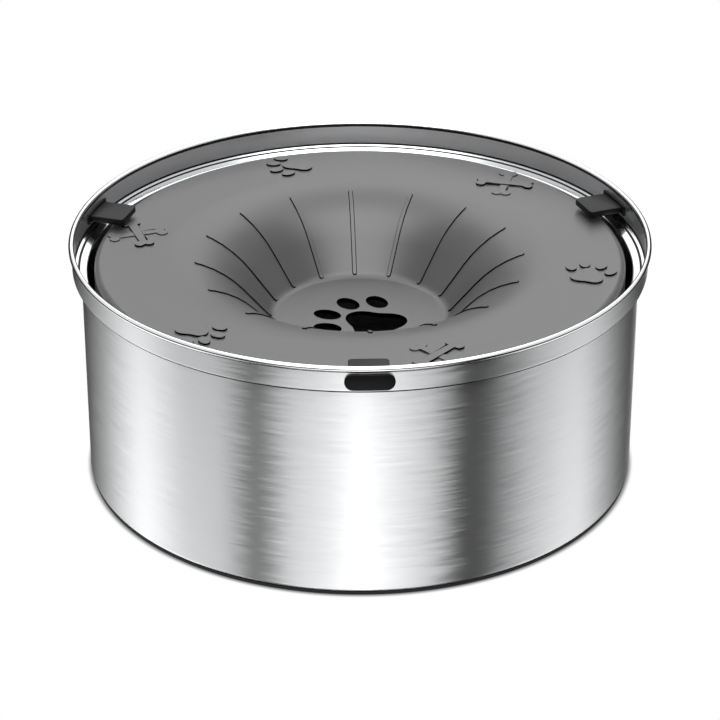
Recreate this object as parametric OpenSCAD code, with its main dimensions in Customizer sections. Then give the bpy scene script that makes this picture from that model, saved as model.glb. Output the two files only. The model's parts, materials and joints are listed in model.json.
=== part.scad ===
// No-spill water bowl: a drawn steel bowl in which a hollow drinking disk floats on the water,
// kept in by three locks that slide through the band under the rim.
// Millimetres, +Z up, origin at the centre of the base on the surface it stands on.
// The front of the bowl, with the front lock, looks along -Y.

/* [Bowl] */
// Outer diameter over the rolled rim
rim_d = 250; // [220:1:300]
// Overall height, from the standing surface to the top of the rim
bowl_h = 108; // [95:1:150]
// Thickness of the steel sheet
sheet_t = 0.8; // [0.5:0.1:1.1]
// Diameter of the rolled rim bead
bead_d = 2.4; // [2.4:0.1:3.6]
// Height of the band, from the middle of the bead down to the shoulder
band_h = 10.6; // [10:0.1:14]
// How far the body steps in below the band
step_in = 3.8; // [2:0.1:6]
// Slope of the shoulder between band and body, in degrees
shoulder_slope = 18; // [10:1:45]
// Outside radius where the body turns into the base
corner_r = 1.5; // [1.5:0.1:6]

/* [Base ring] */
// Thickness of the non-slip ring under the base
ring_t = 1.5; // [1:0.1:4]
// Width of the non-slip ring
ring_w = 20; // [8:1:40]
// Inset of the ring's edge from the side of the body
ring_inset = 0.5; // [0.3:0.1:4]

/* [Floating disk] */
// Gap all round between the disk and the body wall
side_gap = 4.7; // [2:0.1:6]
// Height of the locks' undersides over the floating disk
lock_gap = 2; // [1.8:0.1:8]
// Wall thickness of the disk's two shells
float_wall = 2; // [1.4:0.1:2.6]
// Radius of the disk's outer edges
edge_r = 3; // [2.8:0.1:6]
// Depth of the drinking dish
dish_depth = 29.5; // [20:0.5:34]
// Radius of the dish floor, where the slope would meet it
dish_floor_r = 38.5; // [34:0.5:46]
// Slope of the dish wall, in degrees
dish_slope = 49; // [35:1:60]
// Radius of the rolled lip round the dish
lip_r = 45; // [15:1:50]
// Radius between the dish wall and the dish floor
fillet_r = 6; // [3:0.5:10]
// Height of the lower shell's side wall
pan_h = 8; // [6:0.5:14]
// Height of the lap that joins the shells, above and below their seam
lap_h = 3; // [2:0.5:5]
// Reach of the land that the lower shell is welded to, beyond the dish floor
land_w = 4; // [3.6:0.1:8]
// Play in the welded laps
weld_gap = 0.1; // [0.05:0.05:0.3]

/* [Ribs and motifs] */
// Number of ribs on the dish wall
rib_count = 16; // [8:1:20]
// Direction of the first rib, in degrees
rib_az = 93.5; // [90:0.5:112]
// Width of a rib
rib_w = 2.1; // [1.5:0.1:3]
// Height of a rib
rib_h = 0.6; // [0.3:0.1:1]
// Distance of the ribs' inner ends from the middle
rib_in = 38.5; // [37:0.5:45]
// Distance of the ribs' outer ends from the middle
rib_out = 71.5; // [60:0.5:78]
// Height of the raised paws and bones
relief = 0.8; // [0.4:0.1:1]
// Distance of the motifs' middle from the disk's edge
motif_inset = 15; // [14:0.1:18]
// Direction of the first pair of crossed bones, in degrees
motif_az = 48.5; // [40:0.5:60]
// Size of a raised paw, as a share of the paw of holes
paw_share = 0.52; // [0.4:0.01:0.56]
// Length of a bone
bone_l = 26; // [18:0.5:28]
// Width of a bone's shaft
bone_w = 3.2; // [2:0.1:4]
// Radius of the knobs at a bone's ends
knob_r = 2.3; // [1.6:0.1:2.8]

/* [Paw of holes] */
// Middle of the main pad, across
pad_x = 6.4; // [0:0.1:9]
// Middle of the main pad, front to back
pad_y = -8.2; // [-10:0.1:-5]
// Direction the toes point, in degrees
paw_az = 139.5; // [90:0.5:180]
// Mean radius of the main pad
pad_r = 12.5; // [10:0.1:13]
// How far the pad's three lobes swell
pad_lobe = 2.2; // [0:0.1:3]
// Length of a toe
toe_l = 12.6; // [9:0.1:13]
// Width of a toe
toe_w = 9; // [6:0.1:9.2]

/* [Locks] */
// Drop of the locks' middle below the middle of the bead
lock_drop = 5.6; // [5.2:0.1:6]
// Direction of the front lock, in degrees
front_az = -88.2; // [-95:0.1:-85]
// Direction of the right lock, in degrees
right_az = 22; // [15:0.5:40]
// Direction of the left lock, in degrees
left_az = 162.5; // [140:0.5:165]
// Width of a tongue
tongue_w = 16.4; // [12:0.1:17]
// Thickness of a tongue
tongue_t = 2.8; // [2.2:0.1:3]
// Reach of a tongue inwards from the band's inner face
tongue_reach = 16.4; // [12:0.1:20]
// Radius of a tongue's front corners
nose_r = 1.6; // [0.8:0.1:3]
// Height of the stop rib under a tongue's nose
stop_h = 0.6; // [0.4:0.1:0.8]
// Length of the stop rib
stop_l = 1.6; // [1:0.1:3]
// Distance of the stop rib from the nose
stop_in = 4.6; // [1.8:0.1:5]
// Play of a tongue in its guide
slide_gap = 0.3; // [0.2:0.05:0.4]
// Width of the guide's sleeve wall round a tongue
sleeve_t = 0.5; // [0.4:0.1:0.6]
// Thickness of the guide's flange on the inside of the band
flange_t = 0.8; // [0.8:0.1:2]
// Reach of the guide's flange beyond its sleeve, on either side
flange_rim = 0.8; // [0.5:0.1:0.9]
// Play of a guide in its slot
slot_gap = 0.1; // [0.05:0.05:0.2]
// Width of a lock's outer button
button_w = 20.4; // [19:0.1:24]
// Height of a lock's outer button
button_h = 7.2; // [6:0.1:7.2]
// Gap between a button and the band
button_gap = 0.3; // [0.2:0.05:0.4]
// Thickness of a button's head
button_t = 0.8; // [0.6:0.1:0.9]
// Depth of a tongue's tenon in its button
tenon_l = 1.1; // [0.8:0.1:1.3]
// Width of the tenon
tenon_w = 9; // [6:0.5:11]
// Thickness of the tenon
tenon_t = 1.4; // [1:0.1:1.6]

/* [Hidden] */
$fn = 96;
fine_fn = 240;

steel = "#c9cbcc";
disk_grey = "#8f8d8e";
plastic_black = "#2a2a2b";
ring_black = "#17181a";

// The bowl: radii of its bead, band and body, and the heights they turn at
bead_r = bead_d / 2;
bead_c = rim_d / 2 - bead_r;
bead_z = bowl_h - bead_r;
curl_slit = bead_r / 2;
band_r = bead_c;
band_in = band_r - sheet_t;
body_r = band_r - step_in;
body_in = body_r - sheet_t;
step_z = bead_z - band_h;
shoulder_drop = step_in * tan(shoulder_slope);
lock_dirs = [front_az, right_az, left_az];

// The locks: heights, and how far out the tongue's pieces start and end
lock_z = bead_z - lock_drop;
tongue_low = lock_z - tongue_t / 2;
nose_out = band_in - tongue_reach;
flange_in = band_in - slot_gap - flange_t;
joint_out = flange_in + flange_t / 2;
button_out = band_r + button_gap;
channel_w = tongue_w + 2 * slide_gap;
channel_h = tongue_t + 2 * slide_gap;
sleeve_w = channel_w + 2 * sleeve_t;
sleeve_h = channel_h + 2 * sleeve_t;

// The floating disk: its outer radius, levels, and the arcs of its dish
float_r = body_in - side_gap;
float_z = tongue_low - lock_gap;
dish_z = float_z - dish_depth;
float_low = dish_z - float_wall;
seam_z = float_low + pan_h;
land_r = dish_floor_r + land_w;
lip_fall = lip_r * (1 - cos(dish_slope));
dish_top_r = dish_floor_r + (dish_depth - lip_fall) / tan(dish_slope) + lip_r * sin(dish_slope);
lip_c = [dish_top_r, float_z - lip_r];
fillet_c = [dish_floor_r - fillet_r * tan(dish_slope / 2), dish_z + fillet_r];
plate_r = fillet_c[0];
function lip_corner(h) = lip_c + (lip_r + h) * [-tan(dish_slope / 2), 1];
function fillet_end(h) = fillet_c + (fillet_r - h) * [sin(dish_slope), -cos(dish_slope)];

// The motifs: a rib or a motif is sunk into its shell by half the wall, so that it grows out of it
sink = float_wall / 2;
motif_r = float_r - motif_inset;
motif_turn = 120;
paw_turn = 85;
bone_turns = [30, -58];
knob_gap = knob_r * 0.9;
toe_step = 20;
pad_step = 10;
inner_toe = [toe_w * 0.77, pad_r * 1.7];
outer_toe = [toe_w * 1.84, pad_r * 1.02];
inner_tilt = 16;
outer_tilt = 22;

// Outline of a slot with round ends, w long and h high, about the origin
module pill(w, h) {
    square([w - h, h], center = true);
    for (side = [-1, 1])
        translate([side * (w - h) / 2, 0])
            circle(d = h);
}

// A flat outline stood on its edge so that it faces outwards along X, from r0 to r1, at a lock's height
module facing_out(r0, r1) {
    translate([r0, 0, lock_z])
        rotate([90, 0, 90])
            linear_extrude(r1 - r0)
                children();
}

// Half outline of the bowl's outside, with everything drawn in by t
module bowl_outline(t) {
    lift = t * (1 - sin(shoulder_slope)) / cos(shoulder_slope);
    translate([0, ring_t + t])
        square([body_r - corner_r, corner_r]);
    translate([body_r - corner_r, ring_t + corner_r])
        circle(corner_r - t);
    translate([0, ring_t + corner_r])
        square([body_r - t, step_z - shoulder_drop + lift - ring_t - corner_r]);
    polygon([
        [0, step_z - shoulder_drop + lift],
        [body_r - t, step_z - shoulder_drop + lift],
        [band_r - t, step_z + lift],
        [band_r - t, bead_z - bead_r + sheet_t / 2],
        [0, bead_z - bead_r + sheet_t / 2]
    ]);
}

// The rim: the sheet's edge rolled into a tube, left open by a slit that looks down and outwards
module rolled_bead() {
    translate([bead_c, bead_z])
        difference() {
            circle(bead_r);
            circle(bead_r - sheet_t);
            rotate(-45)
                translate([0, -curl_slit / 2])
                    square([bead_d, curl_slit]);
        }
}

// Steel bowl drawn from one sheet, with a slot through the band for each lock guide
module bowl_shell() {
    color(steel)
        difference() {
            rotate_extrude() {
                difference() {
                    bowl_outline(0);
                    bowl_outline(sheet_t);
                }
                rolled_bead();
            }
            for (az = lock_dirs)
                rotate(az)
                    facing_out(band_in - step_in, band_r + step_in)
                        square([sleeve_w + 2 * slot_gap, sleeve_h + 2 * slot_gap], center = true);
        }
}

// Non-slip rubber ring bonded under the base
module base_ring() {
    color(ring_black)
        rotate_extrude()
            translate([body_r - ring_inset - ring_w, 0])
                square([ring_w, ring_t]);
}

// Everything below the drinking surface, with that surface raised by h
module under_surface(h) {
    difference() {
        polygon([
            [0, 0],
            [0, dish_z + h],
            [fillet_c[0], dish_z + h],
            fillet_end(h),
            lip_corner(h),
            [float_r, float_z + h],
            [float_r, 0]
        ]);
        translate(fillet_c)
            circle(fillet_r - h);
        translate(lip_c)
            difference() {
                polygon([[0, 0], 2 * lip_r * [-sin(dish_slope), cos(dish_slope)], [0, 2 * lip_r]]);
                circle(lip_r + h);
            }
    }
}

// Half outline of the whole disk's sides, with rounded edges, drawn in by t
module float_outline(t) {
    translate([0, float_low + t])
        square([float_r - edge_r, float_z - float_low - 2 * t]);
    translate([0, float_low + edge_r])
        square([float_r - t, float_z - float_low - 2 * edge_r]);
    for (z = [float_low + edge_r, float_z - edge_r])
        translate([float_r - edge_r, z])
            circle(edge_r - t);
}

// Upper shell of the disk in section: skirt, flat ring, dish wall, and the land the lower shell is welded to
module float_top_section() {
    difference() {
        intersection() {
            under_surface(0);
            float_outline(0);
        }
        difference() {
            intersection() {
                under_surface(-float_wall);
                union() {
                    float_outline(float_wall);
                    square([float_r - float_wall, seam_z]);
                }
            }
            translate([plate_r, float_low])
                square([land_r - plate_r, pan_h]);
        }
        translate([float_r - float_wall, 0])
            square([float_wall, seam_z]);
        square([plate_r, float_z]);
    }
}

// Outlines of a toe, an ellipse, and of the pad, a circle that swells three times, at s times full size
function toe_points(s) = [
    for (a = [0 : toe_step : 360 - toe_step]) s / 2 * [toe_w * cos(a), toe_l * sin(a)]
];
function pad_points(s) = [
    for (a = [0 : pad_step : 360 - pad_step])
        s * (pad_r + pad_lobe * cos(3 * (a - 90))) * [cos(a), sin(a)]
];

// Paw print with its toes towards +Y: a three-lobed pad and four toes, at s times full size
module paw(s) {
    polygon(pad_points(s));
    for (side = [-1, 1]) {
        translate(s * [side * inner_toe[0], inner_toe[1]])
            rotate(-side * inner_tilt)
                polygon(toe_points(s));
        translate(s * [side * outer_toe[0], outer_toe[1]])
            rotate(-side * outer_tilt)
                polygon(toe_points(s));
    }
}

// A bone along X: a shaft with two knobs at each end
module bone() {
    square([bone_l - 2 * knob_r, bone_w], center = true);
    for (end = [-1, 1])
        for (side = [-1, 1])
            translate([end * (bone_l / 2 - knob_r), side * knob_gap])
                circle(knob_r);
}

// The raised ring of three crossed bones and three paws
module motif_ring() {
    for (k = [0 : 2]) {
        rotate(motif_az + k * motif_turn)
            translate([motif_r, 0])
                for (turn = bone_turns)
                    rotate(turn)
                        bone();
        rotate(motif_az + (k + 0.5) * motif_turn)
            translate([motif_r, 0])
                rotate(paw_turn - 90)
                    translate([0, -paw_share * pad_r / 2])
                        paw(paw_share);
    }
}

// Raised ribs that run down the dish wall, each with round ends
module dish_ribs() {
    intersection() {
        rotate_extrude()
            difference() {
                under_surface(rib_h);
                under_surface(-sink);
            }
        linear_extrude(bowl_h)
            for (k = [0 : rib_count - 1])
                rotate(rib_az + k * 360 / rib_count)
                    translate([(rib_in + rib_out) / 2, 0])
                        pill(rib_out - rib_in, rib_w);
    }
}

// Upper shell of the hollow disk, with its ribs and motifs
module float_top() {
    color(disk_grey) {
        rotate_extrude()
            float_top_section();
        dish_ribs();
        translate([0, 0, float_z - sink])
            linear_extrude(sink + relief)
                motif_ring();
    }
}

// Floor of the dish: a plate welded into the upper shell, with the paw of holes the water rises through
module dish_floor() {
    color(disk_grey)
        translate([0, 0, float_low])
            linear_extrude(float_wall)
                difference() {
                    circle(plate_r - weld_gap);
                    translate([pad_x, pad_y])
                        rotate(paw_az - 90)
                            paw(1);
                }
}

// Lower shell of the disk: a ring-shaped pan that closes the air space, lapped inside the skirt
module float_bottom() {
    lap_out = float_r - float_wall - weld_gap;
    color(plastic_black)
        rotate_extrude() {
            intersection() {
                difference() {
                    float_outline(0);
                    float_outline(float_wall);
                }
                translate([land_r + weld_gap, 0])
                    square([float_r, seam_z - weld_gap]);
            }
            translate([lap_out - float_wall, seam_z - lap_h])
                square([float_wall, 2 * lap_h]);
            translate([lap_out - float_wall, seam_z - lap_h])
                square([2 * float_wall, lap_h - weld_gap]);
        }
}

// One plate of a guide: a w by h window on the lock's axis, curved like the band, from r0 out to r1
module guide_plate(r0, r1, w, h) {
    intersection() {
        rotate_extrude($fn = fine_fn)
            translate([r0, lock_z - h])
                square([r1 - r0, 2 * h]);
        facing_out(0, rim_d)
            square([w, h], center = true);
    }
}

// Guide pressed into the band from inside: a sleeve through the slot, with a flange at either end of it
module lock_guide(az) {
    color(plastic_black)
        rotate(az)
            difference() {
                union() {
                    guide_plate(flange_in, flange_in + flange_t, sleeve_w + 2 * flange_rim, sleeve_h);
                    guide_plate(joint_out, band_r, sleeve_w, sleeve_h);
                }
                facing_out(0, rim_d)
                    square([channel_w, channel_h], center = true);
            }
}

// Sliding tongue that holds the disk down, with a stop rib under its nose and a tenon for its button
module lock_tongue(az) {
    color(plastic_black)
        rotate(az) {
            translate([0, 0, tongue_low])
                linear_extrude(tongue_t) {
                    translate([nose_out + nose_r, -tongue_w / 2])
                        square([joint_out - nose_out - nose_r, tongue_w]);
                    translate([nose_out, nose_r - tongue_w / 2])
                        square([nose_r, tongue_w - 2 * nose_r]);
                    for (side = [-1, 1])
                        translate([nose_out + nose_r, side * (tongue_w / 2 - nose_r)])
                            circle(nose_r);
                }
            translate([nose_out + stop_in, nose_r - tongue_w / 2, tongue_low - stop_h])
                cube([stop_l, tongue_w - 2 * nose_r, stop_h + tongue_t / 2]);
            facing_out(joint_out - tenon_l, joint_out + tenon_l)
                square([tenon_w, tenon_t], center = true);
        }
}

// Pill-shaped outer button: a head curved like the band, and a stub that takes the tongue's tenon
module lock_button(az) {
    color(plastic_black)
        rotate(az)
            difference() {
                union() {
                    intersection() {
                        rotate_extrude($fn = fine_fn)
                            translate([button_out, lock_z - button_h])
                                square([button_t, 2 * button_h]);
                        facing_out(0, rim_d)
                            pill(button_w, button_h);
                    }
                    facing_out(joint_out, button_out + button_t / 2)
                        square([tongue_w, tongue_t], center = true);
                }
                facing_out(joint_out - tenon_l, joint_out + tenon_l + weld_gap)
                    square([tenon_w + 2 * weld_gap, tenon_t + 2 * weld_gap], center = true);
            }
}

bowl_shell();
base_ring();
float_top();
dish_floor();
float_bottom();
lock_guide(front_az);  // lock_guide_front
lock_guide(right_az);  // lock_guide_right
lock_guide(left_az);  // lock_guide_left
lock_tongue(front_az);  // lock_tongue_front
lock_tongue(right_az);  // lock_tongue_right
lock_tongue(left_az);  // lock_tongue_left
lock_button(front_az);  // lock_button_front
lock_button(right_az);  // lock_button_right
lock_button(left_az);  // lock_button_left
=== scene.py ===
import json
import math

import bmesh
import bpy
import numpy as np
from mathutils import Matrix, Vector


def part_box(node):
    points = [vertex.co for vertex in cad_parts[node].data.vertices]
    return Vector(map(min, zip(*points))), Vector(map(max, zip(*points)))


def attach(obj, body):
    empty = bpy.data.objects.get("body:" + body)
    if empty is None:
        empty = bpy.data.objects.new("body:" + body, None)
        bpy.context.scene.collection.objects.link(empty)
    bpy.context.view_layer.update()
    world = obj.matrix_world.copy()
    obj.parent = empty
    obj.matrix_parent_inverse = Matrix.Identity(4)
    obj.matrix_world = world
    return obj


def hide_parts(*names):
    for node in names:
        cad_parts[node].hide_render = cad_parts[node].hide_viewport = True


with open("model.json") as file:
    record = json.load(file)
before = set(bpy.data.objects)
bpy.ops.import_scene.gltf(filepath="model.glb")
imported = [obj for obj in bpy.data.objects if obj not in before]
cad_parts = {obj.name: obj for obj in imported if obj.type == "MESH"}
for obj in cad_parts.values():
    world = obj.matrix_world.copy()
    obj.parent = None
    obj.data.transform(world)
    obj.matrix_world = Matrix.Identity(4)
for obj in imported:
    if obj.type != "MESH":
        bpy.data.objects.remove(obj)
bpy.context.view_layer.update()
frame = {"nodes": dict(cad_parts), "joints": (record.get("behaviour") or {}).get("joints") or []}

# Steel bowl: one sheet of stainless steel, deep drawn with straight sides and a wider band on top.
# Its edge is rolled outwards into a bead, and three slots are punched through the band for the locks.
# The outside is brushed, the inside polished with a satin band and a dull bottom, and painted shade darkens
# the creases and the bottom under the disk.
MM = 0.001
rim_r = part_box("bowl_shell")[1].x / MM
bowl_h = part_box("bowl_shell")[1].z / MM
base_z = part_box("base_ring")[1].z / MM
sheet = 0.8
bead_r = 1.2
band_h = 10.6
step_in = 3.8
shoulder = math.radians(18)
base_corner = 1.5
bend = 0.8
lip_in = 1.8
lip_h = 1.6
line_in = 2.1
line_w = 1.0
crease = 0.4
bowl_segments = 256

band_r = rim_r - bead_r
band_in = band_r - sheet
line_r = band_in - line_in
body_r = band_r - step_in
bead_z = bowl_h - bead_r
step_z = bead_z - band_h
shoulder_drop = step_in * math.tan(shoulder)
sheet_lift = sheet * (1 - math.sin(shoulder)) / math.cos(shoulder)
bead_meets_band = bead_z - math.sqrt(bead_r**2 - sheet**2)


def arc(centre, radius, start, sweep, step=math.radians(8)):
    """Points in mm along an arc, from the start angle through a signed sweep."""
    count = max(2, math.ceil(abs(sweep) / step))
    turns = [start + sweep * k / count for k in range(count + 1)]
    return [Vector((centre[0] + radius * math.cos(a), centre[1] + radius * math.sin(a))) for a in turns]


def rounded_section(corners, hold=0.3):
    """Half section through (radius, height, fillet) corners in mm. Each fillet becomes an arc, with
    a point just before and just after it, so that the straight walls stay straight in the light."""
    points = []
    for i, (r, z, fillet) in enumerate(corners):
        here = Vector((r, z))
        if fillet == 0:
            points.append(here)
            continue
        back = (Vector(corners[i - 1][:2]) - here).normalized()
        ahead = (Vector(corners[i + 1][:2]) - here).normalized()
        turn = math.pi - back.angle(ahead)
        reach = fillet * math.tan(turn / 2)
        centre = here + (back + ahead).normalized() * fillet / math.cos(turn / 2)
        start = here + back * reach - centre
        way = math.copysign(1, ahead.x * back.y - ahead.y * back.x)
        points.append(here + back * (reach + hold))
        points += arc(centre, fillet, math.atan2(start.y, start.x), way * turn)
        points.append(here + ahead * (reach + hold))
    return points


def ledge_z(radius):
    """Height in mm of the sloping ledge inside the bowl."""
    return step_z + sheet_lift - (band_in - radius) * math.tan(shoulder)


lip_r = body_r - sheet - lip_in
lip_z = ledge_z(lip_r)
bowl_section = rounded_section([
    (0, base_z, 0),
    (body_r, base_z, base_corner),
    (body_r, step_z - shoulder_drop, bend),
    (band_r, step_z, bend + sheet),
    (band_r, bead_z - bead_r - crease, 0),
    (band_r, bead_z - bead_r, 0),
])
bead_start = -math.pi / 2
bead_end = math.pi + math.atan2(bead_z - bead_meets_band, sheet)
bowl_section += arc((band_r, bead_z), bead_r, bead_start, bead_end - bead_start)[1:-1]
bowl_section += rounded_section([
    (band_in, bead_meets_band, 0),
    (band_in, bead_meets_band - crease, 0),
    (band_in, ledge_z(band_in), bend),
    (line_r + line_w / 2, ledge_z(line_r + line_w / 2), 0),
    (line_r - line_w / 2, ledge_z(line_r - line_w / 2), 0),
    (lip_r, lip_z, bend),
    (lip_r, lip_z - lip_h, bend / 2),
    (body_r - sheet, lip_z - lip_h - lip_in, bend / 2),
    (body_r - sheet, base_z + sheet, base_corner - sheet),
    (0, base_z + sheet, 0),
])


def add_node(tree, kind, inputs, **settings):
    """Adds a node with its settings, and links or sets each of the named inputs."""
    node = tree.nodes.new(kind)
    for name, value in settings.items():
        setattr(node, name, value)
    for key, value in inputs.items():
        if isinstance(value, bpy.types.NodeSocket):
            tree.links.new(value, node.inputs[key])
        else:
            node.inputs[key].default_value = value
    return node


def new_tree(name, inputs):
    """An empty Geometry Nodes tree with these inputs, named in order as (name, socket type)."""
    tree = bpy.data.node_groups.new(name, "GeometryNodeTree")
    for label, kind in inputs:
        tree.interface.new_socket(label, in_out="INPUT", socket_type=kind)
    tree.interface.new_socket("Piece", in_out="OUTPUT", socket_type="NodeSocketGeometry")
    return tree


def made_by(piece, tree, **values):
    """Puts a tree on a piece, with the tree's inputs set by their identifiers."""
    modifier = piece.modifiers.new(tree.name, "NODES")
    modifier.node_group = tree
    for item in tree.interface.items_tree:
        if item.in_out == "INPUT" and item.name in values:
            modifier[item.identifier] = values[item.name]


def set_mesh(piece, *finishes, keep_sharp=math.radians(40)):
    """Turns a piece's modifiers into a plain smooth mesh with sharp edges kept, all in its first finish."""
    graph = bpy.context.evaluated_depsgraph_get()
    mesh = bpy.data.meshes.new_from_object(piece.evaluated_get(graph))
    piece.modifiers.clear()
    piece.data = mesh
    mesh.shade_smooth()
    mesh.set_sharp_from_angle(angle=keep_sharp)
    mesh.materials.clear()
    for finish in finishes:
        mesh.materials.append(finish)
    for face in mesh.polygons:
        face.material_index = 0


def new_piece(name, mesh):
    """A new object at the origin that shows this mesh."""
    piece = bpy.data.objects.new(name, mesh)
    bpy.context.scene.collection.objects.link(piece)
    return piece


def section_piece(name, section):
    """A piece that still is only its half section: a line of points in the XZ plane."""
    mesh = bpy.data.meshes.new(name)
    points = [(r * MM, 0, z * MM) for r, z in section]
    edges = [(i, i + 1) for i in range(len(section) - 1)]
    mesh.from_pydata(points, edges, [])
    return new_piece(name, mesh)


turned = new_tree("turned", [
    ("Section", "NodeSocketGeometry"), ("Segments", "NodeSocketInt"), ("Finish", "NodeSocketMaterial"),
])
given = add_node(turned, "NodeGroupInput", {}).outputs
rows = add_node(turned, "GeometryNodeAttributeDomainSize", {
    "Geometry": given["Section"],
}).outputs["Point Count"]
around = add_node(turned, "FunctionNodeIntegerMath", {0: given["Segments"], 1: 1}, operation="ADD").outputs[0]
grid = add_node(turned, "GeometryNodeMeshGrid", {"Vertices X": rows, "Vertices Y": around}).outputs["Mesh"]
index = add_node(turned, "GeometryNodeInputIndex", {}).outputs[0]
row = add_node(turned, "FunctionNodeIntegerMath", {0: index, 1: around}, operation="DIVIDE_FLOOR").outputs[0]
column = add_node(turned, "FunctionNodeIntegerMath", {0: index, 1: around}, operation="MODULO").outputs[0]
section_point = add_node(turned, "GeometryNodeSampleIndex", {
    "Geometry": given["Section"],
    "Value": add_node(turned, "GeometryNodeInputPosition", {}).outputs[0],
    "Index": row,
}, data_type="FLOAT_VECTOR").outputs["Value"]
one_step = add_node(turned, "ShaderNodeMath", {
    0: -2 * math.pi, 1: given["Segments"],
}, operation="DIVIDE").outputs[0]
angle = add_node(turned, "ShaderNodeMath", {0: column, 1: one_step}, operation="MULTIPLY").outputs[0]
swung = add_node(turned, "ShaderNodeVectorRotate", {
    "Vector": section_point, "Angle": angle,
}, rotation_type="Z_AXIS").outputs[0]
surface = add_node(turned, "GeometryNodeSetPosition", {"Geometry": grid, "Position": swung}).outputs[0]
seam_gap = 0.001
closed = add_node(turned, "GeometryNodeMergeByDistance", {
    "Geometry": surface, "Distance": seam_gap * MM,
}).outputs[0]
whole = add_node(turned, "GeometryNodeRealizeInstances", {"Geometry": closed}).outputs[0]
dressed = add_node(turned, "GeometryNodeSetMaterial", {
    "Geometry": whole, "Material": given["Finish"],
}).outputs[0]
add_node(turned, "NodeGroupOutput", {"Piece": dressed})


def linear(code):
    """An sRGB hex colour as the linear RGBA that a shader takes."""
    parts = [int(code[i:i + 2], 16) / 255 for i in (1, 3, 5)]
    return [c / 12.92 if c <= 0.04045 else ((c + 0.055) / 1.055) ** 2.4 for c in parts] + [1]


def new_finish(name):
    """An empty material and its node tree."""
    material = bpy.data.materials.new(name)
    material.use_nodes = True
    material.node_tree.nodes.clear()
    return material, material.node_tree


# Brushed stainless steel: abrasive belts leave fine scratches round the bowl, which draw reflections out
# into upright bands with ragged edges. The scratches lie a tenth of a millimetre apart, drawn a millimetre
# apart here so that they show, and each one leans the light a little to one side.
steel_colour = linear("#dddedf")
scratch_gap = 1.0
scratch_run = 18
scratch_sway = 0.115
brushed_steel, tree = new_finish("brushed_stainless_steel")
here = add_node(tree, "ShaderNodeTexCoord", {}).outputs["Object"]
along = add_node(tree, "ShaderNodeMapping", {
    "Vector": here,
    "Scale": (1 / (scratch_run * MM), 1 / (scratch_run * MM), 1 / (scratch_gap * MM)),
}).outputs[0]
scratches = add_node(tree, "ShaderNodeTexNoise", {"Vector": along, "Scale": 1, "Detail": 2}).outputs[0]
round_bowl = add_node(tree, "ShaderNodeTangent", {}, direction_type="RADIAL", axis="Z").outputs[0]
sway = add_node(tree, "ShaderNodeMapRange", {
    "Value": scratches, "To Min": -scratch_sway / 2, "To Max": scratch_sway / 2,
}).outputs[0]
lean = add_node(tree, "ShaderNodeVectorMath", {0: round_bowl, "Scale": sway}, operation="SCALE").outputs[0]
wall = add_node(tree, "ShaderNodeNewGeometry", {}).outputs["Normal"]
swayed = add_node(tree, "ShaderNodeVectorMath", {0: wall, 1: lean}, operation="ADD").outputs[0]
shader = add_node(tree, "ShaderNodeBsdfPrincipled", {
    "Base Color": steel_colour, "Metallic": 1, "Roughness": 0.28,
    "Normal": add_node(tree, "ShaderNodeVectorMath", {0: swayed}, operation="NORMALIZE").outputs[0],
    "Anisotropic": 0.95, "Anisotropic Rotation": 0.25, "Tangent": round_bowl,
}).outputs[0]
add_node(tree, "ShaderNodeOutputMaterial", {"Surface": shader})

# Polished stainless steel: the inside wall and the bead are buffed nearly to a mirror, and cloudy marks
# left by the draw, some millimetres wide, soften what they reflect.
draw_mark = 6
polished_steel, tree = new_finish("polished_stainless_steel")
here = add_node(tree, "ShaderNodeTexCoord", {}).outputs["Object"]
marks = add_node(tree, "ShaderNodeTexNoise", {
    "Vector": here, "Scale": 1 / (draw_mark * MM), "Detail": 2,
}).outputs[0]
dulling = add_node(tree, "ShaderNodeMapRange", {
    "Value": marks, "From Min": 0.3, "From Max": 0.7, "To Min": 0.10, "To Max": 0.14,
}).outputs[0]
shader = add_node(tree, "ShaderNodeBsdfPrincipled", {
    "Base Color": steel_colour, "Metallic": 1, "Roughness": dulling,
}).outputs[0]
add_node(tree, "ShaderNodeOutputMaterial", {"Surface": shader})

# Satin stainless steel: the inside of the band, rubbed down with a soft wheel, blurs what it reflects.
satin_steel, tree = new_finish("satin_stainless_steel")
shader = add_node(tree, "ShaderNodeBsdfPrincipled", {
    "Base Color": steel_colour, "Metallic": 1, "Roughness": 0.32,
}).outputs[0]
add_node(tree, "ShaderNodeOutputMaterial", {"Surface": shader})

# Dull stainless steel: the bottom of the inside, under the disk, stays dull as it leaves the press, and its
# dark grey is painted shade under the disk.
dull_steel_painted_shade, tree = new_finish("dull_stainless_steel_painted_shade")
shader = add_node(tree, "ShaderNodeBsdfPrincipled", {
    "Base Color": linear("#3c3d3e"), "Metallic": 1, "Roughness": 0.55,
}).outputs[0]
add_node(tree, "ShaderNodeOutputMaterial", {"Surface": shader})

# Painted shade on the steel: the creases under the bead, the ledge's corner and a line round the ledge,
# and the foot of the band are painted near black as shade.
painted_crease_shade, tree = new_finish("stainless_steel_painted_crease_shade")
shader = add_node(tree, "ShaderNodeBsdfPrincipled", {
    "Base Color": linear("#1c1c1d"), "Metallic": 1, "Roughness": 0.5,
}).outputs[0]
add_node(tree, "ShaderNodeOutputMaterial", {"Surface": shader})

bowl = section_piece("steel_bowl", bowl_section)
made_by(bowl, turned, Segments=bowl_segments, Finish=brushed_steel)

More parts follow.
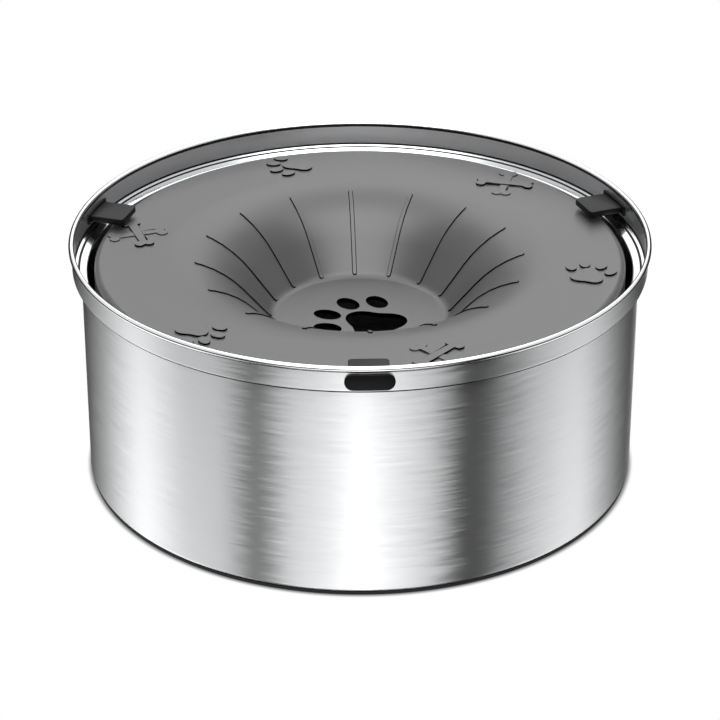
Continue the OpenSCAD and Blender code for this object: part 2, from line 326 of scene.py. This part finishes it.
slot_w = 18.2
slot_h = 4.6
tongue_t = 2.8
tongue_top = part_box("lock_tongue_front")[1].z / MM
lock_z = tongue_top - tongue_t / 2
lock_ways = {
    joint["child"].removeprefix("lock_"): math.atan2(joint["axis"][1], joint["axis"][0])
    for joint in frame["joints"] if joint["child"].startswith("lock_")
}
punch_l = 4 * step_in
punch = bmesh.new()
for way in lock_ways.values():
    size = Matrix.Diagonal((punch_l * MM, slot_w * MM, slot_h * MM, 1))
    spot = Matrix.Translation((band_r * MM, 0, lock_z * MM))
    bmesh.ops.create_cube(punch, size=1, matrix=Matrix.Rotation(way, 4, "Z") @ spot @ size)
punch_mesh = bpy.data.meshes.new("slot_punch")
punch.to_mesh(punch_mesh)
punch.free()
slot_punch = new_piece("slot_punch", punch_mesh)
slots = bowl.modifiers.new("slots", "BOOLEAN")
slots.object = slot_punch
steel_finishes = [brushed_steel, polished_steel, dull_steel_painted_shade, painted_crease_shade, satin_steel]
set_mesh(bowl, *steel_finishes)
bpy.data.objects.remove(slot_punch)

# How far the painted shade and the finishes reach from the creases, in mm, and which way a face has to tilt.
hair = 0.01
crease_up = 0.25 * bead_r
inner_crease_up = 0.1 * bead_r
inner_crease_w = 0.35
corner_shade = 0.75 * bend
foot_w = 0.9
foot_h = 2 * bend
foot_tilt = -0.3
bottom_tilt = -0.5
bottom_h = step_z / 4


def steel_finish(face):
    """The finish of one face of the bowl: painted shade in the creases first, then the band inside, then the
    rest.
    """
    reach = math.hypot(face.center.x, face.center.y) / MM
    height = face.center.z / MM
    outward = face.normal.x * face.center.x + face.normal.y * face.center.y > 0
    # Painted shade: the creases under the bead outside and inside, the band's foot, the ledge's corner and
    # its line are near black.
    if reach > band_r - hair and -crease < height - (bead_z - bead_r) < crease_up:
        return painted_crease_shade
    if reach < band_in + inner_crease_w and bead_meets_band - crease < height < bead_z + inner_crease_up:
        return painted_crease_shade
    if outward and reach > band_r - foot_w and abs(height - step_z) < foot_h and face.normal.z < foot_tilt:
        return painted_crease_shade
    if not outward and math.dist((reach, height), (band_in, ledge_z(band_in))) < corner_shade:
        return painted_crease_shade
    if not outward and abs(reach - line_r) < line_w / 4:
        return painted_crease_shade
    if not outward and abs(reach - band_in) < hair:
        return satin_steel
    if outward and height < bead_z - bead_r or face.normal.z < bottom_tilt and height < bead_z / 2:
        return brushed_steel
    # The bottom under the disk takes the dull steel, darkened with painted shade.
    return dull_steel_painted_shade if height < bottom_h else polished_steel


for face in bowl.data.polygons:
    face.material_index = steel_finishes.index(steel_finish(face))
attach(bowl, "bowl")
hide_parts("bowl_shell")

# Base ring: a flat ring of black rubber, moulded with soft edges and bonded under the bowl.
# It keeps the bowl from sliding and shows as a thin dark line along the floor.
ring_w = 20
ring_edge = 0.4
ring_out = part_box("base_ring")[1].x / MM
ring_in = ring_out - ring_w
ring_mid = (ring_in + ring_out) / 2
ring_section = rounded_section([
    (ring_mid, 0, 0),
    (ring_out, 0, ring_edge),
    (ring_out, base_z, 0),
    (ring_in, base_z, 0),
    (ring_in, 0, ring_edge),
    (ring_mid, 0, 0),
])

# Black moulded rubber: a plain steel mould leaves it matte and finely pitted, so it hardly shines.
# The pits are about a tenth of a millimetre wide, and drawn wider here to show.
rubber_grain = 0.8
rubber_pit = 0.05
black_rubber, tree = new_finish("black_moulded_rubber")
here = add_node(tree, "ShaderNodeTexCoord", {}).outputs["Object"]
grain = add_node(tree, "ShaderNodeTexNoise", {
    "Vector": here, "Scale": 1 / (rubber_grain * MM), "Detail": 2,
}).outputs[0]
pitting = add_node(tree, "ShaderNodeBump", {
    "Strength": 0.3, "Distance": rubber_pit * MM, "Height": grain,
}).outputs[0]
shader = add_node(tree, "ShaderNodeBsdfPrincipled", {
    "Base Color": linear("#141416"), "Roughness": 0.75, "Normal": pitting,
}).outputs[0]
add_node(tree, "ShaderNodeOutputMaterial", {"Surface": shader})
ring = section_piece("rubber_ring", ring_section)
made_by(ring, turned, Segments=bowl_segments, Finish=black_rubber)
set_mesh(ring, black_rubber)
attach(ring, "bowl")
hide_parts("base_ring")

# Floating disk, upper shell: one moulding of grey plastic with a rounded edge, a flat ring and a
# smooth dish, with a paw of five holes cut through the dish floor.
# It is welded to the pan below it, and the air between them keeps the disk afloat.
relief = 0.8
disk_wall = 2
disk_edge = 3
pan_h = 8
dish_floor_r = 38.5
dish_slope = math.radians(49)
dish_fillet = 6
dish_lip = 45
land_w = 4
disk_segments = 240

disk_low, disk_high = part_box("float_top")
disk_r = disk_high.x / MM
deck_z = disk_high.z / MM - relief
seam_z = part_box("float_bottom")[0].z / MM + pan_h
dish_floor_z = disk_low.z / MM + disk_wall
land_r = dish_floor_r + land_w
dish_depth = deck_z - dish_floor_z
lip_corner_r = dish_floor_r + dish_depth / math.tan(dish_slope)
wall_drop = disk_wall / math.cos(dish_slope)
inner_corner_r = dish_floor_r + (dish_depth - disk_wall + wall_drop) / math.tan(dish_slope)
land_top = dish_floor_z + (land_r - dish_floor_r) * math.tan(dish_slope) - wall_drop
dish_line = rounded_section([
    (disk_r - disk_edge, deck_z, 0),
    (lip_corner_r, deck_z, dish_lip),
    (dish_floor_r, dish_floor_z, dish_fillet),
    (0, dish_floor_z, 0),
])
disk_section = rounded_section([
    (0, dish_floor_z - disk_wall, 0),
    (land_r, dish_floor_z - disk_wall, 0),
    (land_r, land_top, 0),
    (inner_corner_r, deck_z - disk_wall, dish_lip - disk_wall),
    (disk_r - disk_wall, deck_z - disk_wall, disk_edge - disk_wall),
    (disk_r - disk_wall, seam_z, 0),
    (disk_r, seam_z, 0),
    (disk_r, deck_z, disk_edge),
    (disk_r - 2 * disk_edge, deck_z, 0),
])
disk_section += dish_line[1:]

# Grey moulded polypropylene: a spark-eroded mould leaves a very fine matte grain with a satin sheen, about
# a tenth of a millimetre wide and drawn wider here to show. The steep steps round ribs, motifs and holes
# are painted near black and lose their sheen: painted shade that draws them as thin dark lines.
plastic_grain = 0.6
plastic_pit = 0.05
grey_plastic, tree = new_finish("grey_moulded_polypropylene")
here = add_node(tree, "ShaderNodeTexCoord", {}).outputs["Object"]
grain = add_node(tree, "ShaderNodeTexNoise", {
    "Vector": here, "Scale": 1 / (plastic_grain * MM), "Detail": 3,
}).outputs[0]
step = add_node(tree, "ShaderNodeAttribute", {}, attribute_name="step").outputs["Fac"]
# Faces marked as steps take a near-black colour, as painted shade.
tint_with_painted_shade = add_node(tree, "ShaderNodeMix", {
    "Factor": step, "A": linear("#777576"), "B": linear("#080808"),
}, data_type="RGBA").outputs["Result"]
sheen = add_node(tree, "ShaderNodeMapRange", {"Value": step, "To Min": 0.5, "To Max": 0}).outputs[0]
dulling = add_node(tree, "ShaderNodeMapRange", {
    "Value": grain, "From Min": 0.3, "From Max": 0.7, "To Min": 0.34, "To Max": 0.4,
}).outputs[0]
eroded = add_node(tree, "ShaderNodeBump", {
    "Strength": 0.06, "Distance": plastic_pit * MM, "Height": grain,
}).outputs[0]
shader = add_node(tree, "ShaderNodeBsdfPrincipled", {
    "Base Color": tint_with_painted_shade, "Roughness": dulling, "IOR": 1.49, "Specular IOR Level": sheen, "Normal": eroded,
}).outputs[0]
add_node(tree, "ShaderNodeOutputMaterial", {"Surface": shader})

disk = section_piece("disk_upper_shell", disk_section)
made_by(disk, turned, Segments=disk_segments, Finish=grey_plastic)

pad_r = 12.5
pad_lobe = 2.2
toe_l = 12.6
toe_w = 9
inner_toe = Vector((0.77 * toe_w, 1.7 * pad_r))
outer_toe = Vector((1.84 * toe_w, 1.02 * pad_r))
inner_tilt = math.radians(16)
outer_tilt = math.radians(22)
toe_points = 40
pad_points = 72


def paw_outlines(share, inset):
    """The five outlines of a paw in mm, toes towards +Y, at a share of full size and drawn in by inset."""
    outlines = []
    ring = [2 * math.pi * k / pad_points for k in range(pad_points)]
    reach = [share * (pad_r + pad_lobe * math.cos(3 * (a - math.pi / 2))) - inset for a in ring]
    outlines.append([Vector((r * math.cos(a), r * math.sin(a))) for a, r in zip(ring, reach)])
    oval = [2 * math.pi * k / toe_points for k in range(toe_points)]
    half_w, half_l = share * toe_w / 2 - inset, share * toe_l / 2 - inset
    for side in (-1, 1):
        for toe, tilt in ((inner_toe, inner_tilt), (outer_toe, outer_tilt)):
            middle = share * Vector((side * toe.x, toe.y))
            lean = Matrix.Rotation(-side * tilt, 2)
            outlines.append([
                middle + lean @ Vector((half_w * math.cos(a), half_l * math.sin(a))) for a in oval
            ])
    return outlines


def raise_shape(mesh, outlines, heights, place, strips=False):
    """Adds a closed shape to a bmesh: one outline for each height, joined by walls and capped.
    With strips the caps run across a mirrored outline that starts at its tip, and so follow a curve."""
    step = mesh.faces.layers.float.get("step") or mesh.faces.layers.float.new("step")
    rings = [[mesh.verts.new(place(p[0], p[1], h)) for p in line] for line, h in zip(outlines, heights)]
    count = len(rings[0])
    for level, (low, high) in enumerate(zip(rings, rings[1:])):
        for i in range(count):
            j = (i + 1) % count
            wall = mesh.faces.new((low[i], low[j], high[j], high[i]))
            # The walls below the top rounding are marked as steps, and the grey plastic paints them near
            # black as shade.
            wall[step] = 1 if level < len(rings) - 2 else 0
    for ring in (rings[-1], rings[0][:1] + rings[0][:0:-1]):
        if not strips:
            mesh.faces.new(ring)
            continue
        mesh.faces.new((ring[0], ring[1], ring[-1]))
        for i in range(1, count // 2 - 1):
            mesh.faces.new((ring[i], ring[i + 1], ring[count - i - 1], ring[count - i]))
        mesh.faces.new((ring[count // 2 - 1], ring[count // 2], ring[count // 2 + 1]))


def raise_layers(mesh, outline, layers, place, strips=False):
    """Adds a closed shape whose outline is drawn in by each layer's inset at that layer's height."""
    outlines = [outline(inset) for inset, _ in layers]
    raise_shape(mesh, outlines, [height for _, height in layers], place, strips)


def shape_piece(name, mesh):
    """A piece from a bmesh, with its faces turned outwards."""
    bmesh.ops.recalc_face_normals(mesh, faces=mesh.faces)
    data = bpy.data.meshes.new(name)
    mesh.to_mesh(data)
    mesh.free()
    return new_piece(name, data)


paw_at = Vector((6.4, -8.2))
paw_turn = Matrix.Rotation(math.radians(49.5), 2)
upright = 0.1


def in_dish_floor(x, y, height):
    """A point of the paw of holes, at a height over the dish floor."""
    spot = paw_at + paw_turn @ Vector((x, y))
    return Vector((spot.x, spot.y, dish_floor_z + height)) * MM


holes = bmesh.new()
for hole in paw_outlines(1, 0):
    raise_shape(holes, [hole, hole], [-2 * disk_wall, 2 * disk_wall], in_dish_floor)
paw_punch = shape_piece("paw_punch", holes)
cut = disk.modifiers.new("paw_holes", "BOOLEAN")
cut.object = paw_punch
set_mesh(disk, grey_plastic)
bpy.data.objects.remove(paw_punch)
# The walls of the paw holes are marked as steps too, and so are painted near black as shade.
steps = disk.data.attributes.get("step") or disk.data.attributes.new("step", "FLOAT", "FACE")
for face in disk.data.polygons:
    in_floor = math.hypot(face.center.x, face.center.y) < dish_floor_r * MM
    steps.data[face.index].value = in_floor and abs(face.normal.z) < upright
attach(disk, "float")
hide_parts("float_top", "dish_floor")

# Floating disk, lower shell: the plain pan under the dish, hidden in the bowl but for what the holes show.
# It is moulded in black nylon and welded on, and its shape needs no more than the solid has.

# Black moulded nylon: a fine spark-eroded grain, drawn wider here to show, gives a dim satin sheen.
black_grain = 0.5
black_pit = 0.05
black_plastic, tree = new_finish("black_moulded_nylon")
here = add_node(tree, "ShaderNodeTexCoord", {}).outputs["Object"]
grain = add_node(tree, "ShaderNodeTexNoise", {
    "Vector": here, "Scale": 1 / (black_grain * MM), "Detail": 3,
}).outputs[0]
dulling = add_node(tree, "ShaderNodeMapRange", {
    "Value": grain, "From Min": 0.3, "From Max": 0.7, "To Min": 0.38, "To Max": 0.48,
}).outputs[0]
eroded = add_node(tree, "ShaderNodeBump", {
    "Strength": 0.08, "Distance": black_pit * MM, "Height": grain,
}).outputs[0]
shader = add_node(tree, "ShaderNodeBsdfPrincipled", {
    "Base Color": linear("#0e0e0f"), "Roughness": dulling, "Specular IOR Level": 0.15, "Normal": eroded,
}).outputs[0]
add_node(tree, "ShaderNodeOutputMaterial", {"Surface": shader})
pan = frame["nodes"]["float_bottom"]
pan.data.materials.clear()
pan.data.materials.append(black_plastic)

# Dish ribs: sixteen slim raised ribs with round ends that run down the dish wall.
# They are of the same grey plastic, moulded in one with the upper shell, and stiffen its wall.
rib_count = 16
rib_first = math.radians(93.5)
rib_w = 2.1
rib_in = 38.5
rib_out = 71.5
rib_h = 0.6
rib_draft = 0.25
rib_edge = 0.1
rib_root = -0.4
rib_steps = 40
tilt_span = 0.4

dish_reach = np.array([p.x for p in reversed(dish_line)])
dish_height = np.array([p.y for p in reversed(dish_line)])


def on_dish(x, y, height):
    """A point over the dish, x out from its middle and y across, raised square to the dish wall."""
    reach = math.hypot(x, y)
    near, far = np.interp([reach - tilt_span / 2, reach + tilt_span / 2], dish_reach, dish_height)
    tilt = math.atan2(far - near, tilt_span)
    level = float(np.interp(reach, dish_reach, dish_height)) + height * math.cos(tilt)
    pull = 1 - height * math.sin(tilt) / reach
    return Vector((x * pull, y * pull, level)) * MM


def pill(length, width, inset, side_steps, end_steps=6):
    """Outline in mm of a slot with round ends along X, drawn in by inset, from its tip round."""
    half, radius = (length - width) / 2, width / 2 - inset
    quarter = np.linspace(0, math.pi / 2, end_steps)
    right = [(half + radius * math.cos(a), radius * math.sin(a)) for a in quarter]
    upper = right + [(half - 2 * half * k / side_steps, radius) for k in range(1, side_steps)]
    upper += [(-x, y) for x, y in reversed(right)]
    return upper + [(x, -y) for x, y in upper[-2:0:-1]]


def rib_outline(inset):
    """Outline in mm of a rib along X in its place on the dish, drawn in by inset."""
    middle = (rib_in + rib_out) / 2
    return [(x + middle, y) for x, y in pill(rib_out - rib_in, rib_w, inset, rib_steps)]


layers = [(0, rib_root), (0, 0), (rib_draft, rib_h - rib_edge), (rib_draft + rib_edge, rib_h)]
rib_mesh = bmesh.new()
raise_layers(rib_mesh, rib_outline, layers, on_dish, strips=True)
ribs = shape_piece("dish_ribs", rib_mesh)

copies = new_tree("copies_round_the_middle", [
    ("Shape", "NodeSocketGeometry"), ("Count", "NodeSocketInt"),
    ("First", "NodeSocketFloat"), ("Finish", "NodeSocketMaterial"),
])
given = add_node(copies, "NodeGroupInput", {}).outputs
points = add_node(copies, "GeometryNodePoints", {"Count": given["Count"]}).outputs[0]
index = add_node(copies, "GeometryNodeInputIndex", {}).outputs[0]
one_step = add_node(copies, "ShaderNodeMath", {
    0: 2 * math.pi, 1: given["Count"],
}, operation="DIVIDE").outputs[0]
swing = add_node(copies, "ShaderNodeMath", {
    0: index, 1: one_step, 2: given["First"],
}, operation="MULTIPLY_ADD").outputs[0]
turn = add_node(copies, "ShaderNodeCombineXYZ", {"Z": swing}).outputs[0]
placed = add_node(copies, "GeometryNodeInstanceOnPoints", {
    "Points": points, "Instance": given["Shape"], "Rotation": turn,
}).outputs[0]
whole = add_node(copies, "GeometryNodeRealizeInstances", {"Geometry": placed}).outputs[0]
dressed = add_node(copies, "GeometryNodeSetMaterial", {
    "Geometry": whole, "Material": given["Finish"],
}).outputs[0]
add_node(copies, "NodeGroupOutput", {"Piece": dressed})

made_by(ribs, copies, Count=rib_count, First=rib_first, Finish=grey_plastic)
set_mesh(ribs, grey_plastic)
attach(ribs, "float")

# Raised motifs: three pairs of crossed bones and three paws on the flat ring, moulded with the shell.
# They stand under a millimetre high, with steep sides, and one bone of each pair lies over the other.
motif_in = 15
motif_r = disk_r - motif_in
motif_first = math.radians(48.5)
motif_count = 3
motif_root = -0.4
motif_draft = 0.02
motif_edge = 0.1
bone_l = 26
bone_w = 3.2
knob_r = 2.3
knob_gap = 0.9 * knob_r
under_bone = 0.45
bone_turns = {math.radians(30): under_bone, math.radians(-58): relief}
paw_share = 0.52
raised_paw_turn = math.radians(-5)


def bone_outline(inset):
    """Outline in mm of a bone along X, drawn in by inset: a shaft with two knobs at each end."""
    knob, half = knob_r - inset, bone_w / 2 - inset
    middle = Vector((bone_l / 2 - knob_r, knob_gap))
    notch = math.atan2(-knob_gap, math.sqrt(knob**2 - knob_gap**2))
    neck = math.atan2(half - knob_gap, -math.sqrt(knob**2 - (half - knob_gap) ** 2)) + 2 * math.pi
    right = [tuple(p) for p in arc(middle, knob, notch, neck - notch, math.radians(12))]
    upper = right + [(-x, y) for x, y in reversed(right)]
    return upper + [(x, -y) for x, y in upper[-2:0:-1]]


def on_deck(turn, shift):
    """Gives the function that sets a motif's points on the flat ring, turned and shifted about its middle."""
    lean = Matrix.Rotation(turn, 2)

    def place(x, y, height):
        spot = Vector((motif_r, 0)) + lean @ Vector((x, y + shift))
        return Vector((spot.x, spot.y, deck_z + height)) * MM

    return place


def motif_layers(top):
    """The (inset, height) pairs of a motif that stands this high: root, foot, edge and top."""
    return [(0, motif_root), (0, 0), (motif_draft, top - motif_edge), (motif_draft + motif_edge, top)]


bone_mesh = bmesh.new()
for turn, top in bone_turns.items():
    raise_layers(bone_mesh, bone_outline, motif_layers(top), on_deck(turn, 0))
bones = shape_piece("raised_bones", bone_mesh)
made_by(bones, copies, Count=motif_count, First=motif_first, Finish=grey_plastic)

paw_mesh = bmesh.new()
layers = motif_layers(relief)
heights = [height for _, height in layers]
paw_place = on_deck(raised_paw_turn, -paw_share * pad_r / 2)
for part in zip(*[paw_outlines(paw_share, inset) for inset, _ in layers]):
    raise_shape(paw_mesh, part, heights, paw_place)
paws = shape_piece("raised_paws", paw_mesh)
made_by(paws, copies, Count=motif_count, First=motif_first + math.pi / motif_count, Finish=grey_plastic)

for motif in (bones, paws):
    set_mesh(motif, grey_plastic)
    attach(motif, "float")

# Lock guides: small frames of black nylon pressed into the band's slots from inside, one for each lock.
# They are plain mouldings that show as a dark strip on the wall, so the solids serve as they are.
for side in lock_ways:
    guide = frame["nodes"]["lock_guide_" + side]
    guide.data.materials.clear()
    guide.data.materials.append(black_plastic)

# Lock tongues: flat bars of black nylon that slide through the guides and reach in over the disk's edge.
# Each is moulded with rounded corners at its nose, softened edges and a stop rib underneath.
tongue_w = 16.4
tongue_reach = 16.4
nose_r = 1.6
soft_edge = 0.35
stop_in = 4.6
stop_l = 1.6
stop_h = 0.6
button_gap = 0.3

nose_at = band_in - tongue_reach
button_back = band_r + button_gap


def tongue_outline(inset):
    """Outline in mm of a tongue seen from above, nose towards the middle, drawn in by inset."""
    side, radius = tongue_w / 2 - inset, nose_r - inset
    centre = (nose_at + nose_r, tongue_w / 2 - nose_r)
    upper = [tuple(p) for p in arc(centre, radius, math.pi, -math.pi / 2, math.radians(15))]
    upper.append((button_back, side))
    return [(x, -y) for x, y in upper] + upper[::-1]


def stop_outline():
    """Outline in mm of the stop rib under the nose."""
    near, far, side = nose_at + stop_in, nose_at + stop_in + stop_l, tongue_w / 2 - nose_r
    return [(near, -side), (far, -side), (far, side), (near, side)]


def softened(thick, edge, steps=3):
    """The (inset, height) pairs of a bar this thick whose upper and lower edges are rounded off."""
    turns = [math.pi / 2 * k / steps for k in range(steps + 1)]
    low = [(edge * (1 - math.sin(a)), edge * (1 - math.cos(a))) for a in turns]
    return low + [(inset, thick - height) for inset, height in reversed(low)]


def at_lock(way):
    """Gives the function that sets a tongue's points along its slide, at a height over its underside."""
    swing = Matrix.Rotation(way, 3, "Z")

    def place(x, y, height):
        return swing @ Vector((x, y, tongue_top - tongue_t + height)) * MM

    return place


for side, way in lock_ways.items():
    bar = bmesh.new()
    raise_layers(bar, tongue_outline, softened(tongue_t, soft_edge), at_lock(way))
    raise_shape(bar, [stop_outline()] * 2, [-stop_h, soft_edge], at_lock(way))
    tongue = shape_piece("tongue_" + side, bar)
    set_mesh(tongue, black_plastic)
    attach(tongue, "lock_" + side)
    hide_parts("lock_tongue_" + side)

# Lock buttons: pill-shaped heads of black nylon outside the band, curved like it and fixed on the tongues.
# A fingertip pulls one outwards to free the disk, so the edge all round is softened.
button_w = 20.4
button_h = 7.2
button_t = 0.8
button_edge = 0.4
button_steps = 12


def button_outline(inset):
    """Outline in mm of a button seen from outside, drawn in by inset."""
    return pill(button_w, button_h, inset, button_steps, button_steps)


def on_band(way):
    """Gives the function that wraps a button's points round the band, at a height off its back."""

    def place(x, y, height):
        out = button_back + height
        turn = way + x / (button_back + button_t)
        return Vector((out * math.cos(turn), out * math.sin(turn), lock_z + y)) * MM

    return place


rounded_bar = softened(2 * button_t, button_edge)
rounded_front = rounded_bar[len(rounded_bar) // 2:]
layers = [(0, 0)] + [(inset, height - button_t) for inset, height in rounded_front]
for side, way in lock_ways.items():
    head = bmesh.new()
    raise_layers(head, button_outline, layers, on_band(way), strips=True)
    button = shape_piece("button_" + side, head)
    set_mesh(button, black_plastic)
    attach(button, "lock_" + side)
    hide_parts("lock_button_" + side)

# Studio: a pale floor that runs out of sight and darkens only where the bowl touches it. Soft lamps stand
# overhead, behind and in front, and one more, seen by reflections alone, shines on the dish. A ring of
# graded cards with a dark horizon, also seen by reflections alone, gives the steel its bands.
scene = bpy.context.scene
scene.view_settings.view_transform = "Standard"

floor_r = 15
contact_reach = 2.5
contact_power = 2
floor_mesh = bmesh.new()
bmesh.ops.create_circle(floor_mesh, cap_ends=True, segments=64, radius=floor_r)
floor = shape_piece("floor", floor_mesh)
pale_floor, tree = new_finish("pale_floor")
contact = add_node(tree, "ShaderNodeAmbientOcclusion", {
    "Distance": contact_reach * MM,
}, samples=16).outputs["AO"]
shade = add_node(tree, "ShaderNodeMath", {0: contact, 1: contact_power}, operation="POWER").outputs[0]
glow = add_node(tree, "ShaderNodeEmission", {"Color": linear("#ffffff"), "Strength": shade}).outputs[0]
paint = add_node(tree, "ShaderNodeBsdfDiffuse", {"Color": linear("#f3f3f3")}).outputs[0]
ray = add_node(tree, "ShaderNodeLightPath", {}).outputs["Is Camera Ray"]
both = add_node(tree, "ShaderNodeMixShader", {0: ray, 1: paint, 2: glow}).outputs[0]
add_node(tree, "ShaderNodeOutputMaterial", {"Surface": both})
floor.data.materials.append(pale_floor)
floor.visible_glossy = False

world = bpy.data.worlds.new("studio")
world.use_nodes = True
scene.world = world
tree = world.node_tree
tree.nodes.clear()
fill_level = 0.02
ray = add_node(tree, "ShaderNodeLightPath", {}).outputs
seen = add_node(tree, "ShaderNodeMath", {
    0: ray["Is Camera Ray"], 1: ray["Is Glossy Ray"],
}, operation="MAXIMUM").outputs[0]
seen = add_node(tree, "ShaderNodeMath", {
    0: seen, 1: ray["Is Transmission Ray"],
}, operation="MAXIMUM").outputs[0]
level = add_node(tree, "ShaderNodeMapRange", {"Value": seen, "To Min": fill_level, "To Max": 1}).outputs[0]
sky = add_node(tree, "ShaderNodeBackground", {"Color": linear("#ffffff"), "Strength": level}).outputs[0]
add_node(tree, "ShaderNodeOutputWorld", {"Surface": sky})


def grade(ramp, levels):
    """Fills a colour ramp with these grey levels, from the first place to the last."""
    low, high = min(levels), max(levels)
    for place, grey in levels.items():
        ends = {low: ramp.elements[0], high: ramp.elements[-1]}
        stop = ends.get(place) or ramp.elements.new((place - low) / (high - low))
        stop.color = (grey, grey, grey, 1)


# The cards' light goes by bearing in degrees, from the back round by the left to the front at 0, and by
# height in metres.
card_r = 1.5
card_low = -2.5
card_high = 0.6
card_segments = 96
card_strength = 2.6
card_levels = {
    -180: 0.2, -155: 0, -130: 0.25, -100: 0.85, -77: 0.45, -57: 0.45, -43: 0, -30: 0.5, -13: 0.65, 0: 0.95,
    13: 0.7, 30: 0.45, 36: 0.25, 41: 0, 52: 0, 75: 0.4, 100: 0.65, 130: 0.15, 150: 0, 180: 1,
}
horizon_levels = {card_low: 0, -2.4: 1, -0.60: 1, -0.48: 0.05, 0.36: 0.05, 0.44: 1, card_high: 1}
card_h = card_high - card_low
cards = bmesh.new()
bmesh.ops.create_cone(cards, segments=card_segments, radius1=card_r, radius2=card_r, depth=card_h)
bmesh.ops.translate(cards, verts=cards.verts, vec=(0, 0, (card_low + card_high) / 2))
card_foot = Matrix.Translation((0, 0, card_low))
bmesh.ops.create_circle(cards, cap_ends=True, segments=card_segments, radius=card_r, matrix=card_foot)
card_ring = shape_piece("graded_cards", cards)
graded, tree = new_finish("graded_cards")
here = add_node(tree, "ShaderNodeTexCoord", {}).outputs["Object"]
axes = add_node(tree, "ShaderNodeSeparateXYZ", {"Vector": here}).outputs
behind = add_node(tree, "ShaderNodeMath", {0: axes["Y"], 1: -1}, operation="MULTIPLY").outputs[0]
bearing = add_node(tree, "ShaderNodeMath", {0: axes["X"], 1: behind}, operation="ARCTAN2").outputs[0]
share = add_node(tree, "ShaderNodeMapRange", {
    "Value": bearing, "From Min": -math.pi, "From Max": math.pi,
}).outputs[0]
bands = add_node(tree, "ShaderNodeValToRGB", {"Fac": share})
grade(bands.color_ramp, card_levels)
rise = add_node(tree, "ShaderNodeMapRange", {
    "Value": axes["Z"], "From Min": card_low, "From Max": card_high,
}).outputs[0]
horizon = add_node(tree, "ShaderNodeValToRGB", {"Fac": rise})
grade(horizon.color_ramp, horizon_levels)
graded_light = add_node(tree, "ShaderNodeMix", {
    "Factor": 1, "A": bands.outputs["Color"], "B": horizon.outputs["Color"],
}, data_type="RGBA", blend_type="MULTIPLY").outputs["Result"]
shine = add_node(tree, "ShaderNodeEmission", {"Color": graded_light, "Strength": card_strength}).outputs[0]
add_node(tree, "ShaderNodeOutputMaterial", {"Surface": shine})
card_ring.data.materials.append(graded)
card_ring.visible_camera = False
card_ring.visible_diffuse = False
card_ring.visible_transmission = False
card_ring.visible_shadow = False

# Each lamp has its place and width in metres, its watts, and whether it lights more than reflections.
lamp_aim = Vector((0, 0, 0.09))
lamps = {
    "overhead_softbox": ((0, 0.9, 1.6), 1.6, 15, True),
    "back_softbox": ((0, 1.6, 1.2), 1.4, 4.5, True),
    "front_softbox": ((0, -1.6, 1.0), 1.0, 4, True),
    "dish_shine": ((0, -0.6, 1.7), 1.8, 50, False),
}
for name, (place, width, watts, lights_all) in lamps.items():
    lamp = bpy.data.lights.new(name, "AREA")
    lamp.size = width
    lamp.energy = watts
    stand = bpy.data.objects.new(name, lamp)
    stand.location = place
    stand.rotation_euler = (lamp_aim - Vector(place)).to_track_quat("-Z", "Y").to_euler()
    stand.visible_diffuse = lights_all
    scene.collection.objects.link(stand)

# Camera: a long lens in front of the bowl and above it, as in the photograph.
# Its place is in metres from the middle of the base, and it looks down at the bowl's band.
photo_width = 720
focal_pixels = 2775
sensor_width = 36
camera_at = (0, -1.0828, 0.6131)
camera_pitch = math.radians(27.64)
view = bpy.data.cameras.new("photo_camera")
view.sensor_width = sensor_width
view.lens = focal_pixels / photo_width * sensor_width
camera = bpy.data.objects.new("photo_camera", view)
camera.location = camera_at
camera.rotation_euler = (math.pi / 2 - camera_pitch, 0, 0)
scene.collection.objects.link(camera)
scene.camera = camera
